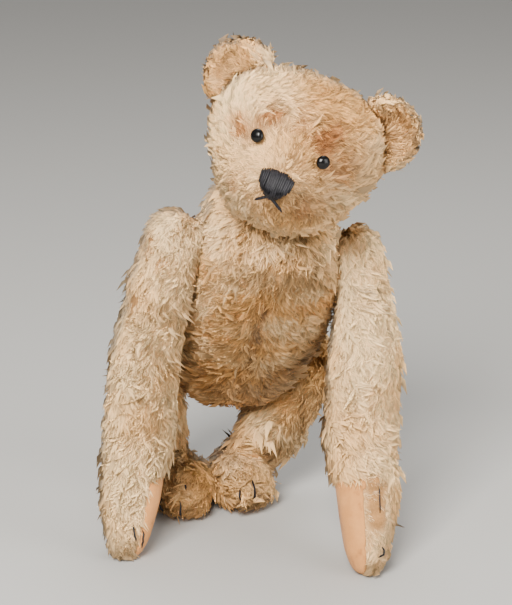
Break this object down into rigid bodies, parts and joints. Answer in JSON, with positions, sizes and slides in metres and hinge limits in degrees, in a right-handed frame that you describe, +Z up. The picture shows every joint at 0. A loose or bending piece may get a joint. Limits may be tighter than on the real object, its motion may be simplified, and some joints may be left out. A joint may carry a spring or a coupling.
{
  "type": "teddy bear",
  "caption": "Worn jointed mohair teddy bear standing on all fours with long arms, felt paws, black button eyes and stitched nose.",
  "frame": {"origin": "on the floor under the middle of the bear's outline", "axes": "+Z up from the floor, -Y the way the bear faces, +X its own left side"},
  "size_m": [0.1454, 0.166, 0.2531],
  "materials": {
    "mohair": "worn curly pile",
    "mohair_pale": "worn curly pile",
    "wood_wool": "packed shavings",
    "felt": "worn felt",
    "boot_button": "glossy",
    "black_thread": "satin stitch",
    "card": "pressed board",
    "steel": "dull"
  },
  "bodies": {
    "torso": {"body_cover": "mohair", "body_stuffing": "wood_wool", "neck_body_disc": "card", "neck_body_washer": "steel", "neck_pin": "steel", "shoulder_left_body_disc": "card", "shoulder_left_body_washer": "steel", "shoulder_left_pin": "steel", "hip_left_body_disc": "card", "hip_left_body_washer": "steel", "hip_left_pin": "steel", "shoulder_right_body_disc": "card", "shoulder_right_body_washer": "steel", "shoulder_right_pin": "steel", "hip_right_body_disc": "card", "hip_right_body_washer": "steel", "hip_right_pin": "steel"},
    "head": {"eye_left": "boot_button", "ear_left": "mohair_pale", "eye_right": "boot_button", "ear_right": "mohair_pale", "nose_stitching": "black_thread", "mouth_stitching": "black_thread", "head_cover": "mohair", "head_stuffing": "wood_wool", "neck_head_disc": "card", "neck_head_washer": "steel"},
    "arm_left": {"arm_left_cover": "mohair", "arm_left_stuffing": "wood_wool", "paw_pad_left": "felt", "shoulder_left_arm_disc": "card", "shoulder_left_arm_washer": "steel"},
    "arm_right": {"arm_right_cover": "mohair", "arm_right_stuffing": "wood_wool", "paw_pad_right": "felt", "shoulder_right_arm_disc": "card", "shoulder_right_arm_washer": "steel"},
    "leg_left": {"leg_left_cover": "mohair", "leg_left_stuffing": "wood_wool", "foot_pad_left": "felt", "hip_left_leg_disc": "card", "hip_left_leg_washer": "steel"},
    "leg_right": {"leg_right_cover": "mohair", "leg_right_stuffing": "wood_wool", "foot_pad_right": "felt", "hip_right_leg_disc": "card", "hip_right_leg_washer": "steel"}
  },
  "joints": [
    {"name": "neck_turn", "type": "hinge", "parent": "torso", "child": "head", "pos_m": [0.01189, -0.01441, 0.17238], "axis": [0.1132, -0.6428, 0.7576], "continuous": true},
    {"name": "shoulder_left_turn", "type": "hinge", "parent": "torso", "child": "arm_left", "pos_m": [0.04047, 0.00063, 0.13897], "axis": [-0.9917, 0.1282, -0.0062], "range_deg": [-30, 74]},
    {"name": "shoulder_right_turn", "type": "hinge", "parent": "torso", "child": "arm_right", "pos_m": [-0.0255, 0.00257, 0.14649], "axis": [-0.9817, -0.0336, 0.1873], "range_deg": [-14, 92]},
    {"name": "hip_left_turn", "type": "hinge", "parent": "torso", "child": "leg_left", "pos_m": [0.0247, 0.05731, 0.07303], "axis": [-0.8983, -0.2093, 0.3864], "range_deg": [-110, 50]},
    {"name": "hip_right_turn", "type": "hinge", "parent": "torso", "child": "leg_right", "pos_m": [-0.03014, 0.05547, 0.08344], "axis": [-0.9891, 0.1446, -0.0264], "range_deg": [-110, 23]}
  ]
}
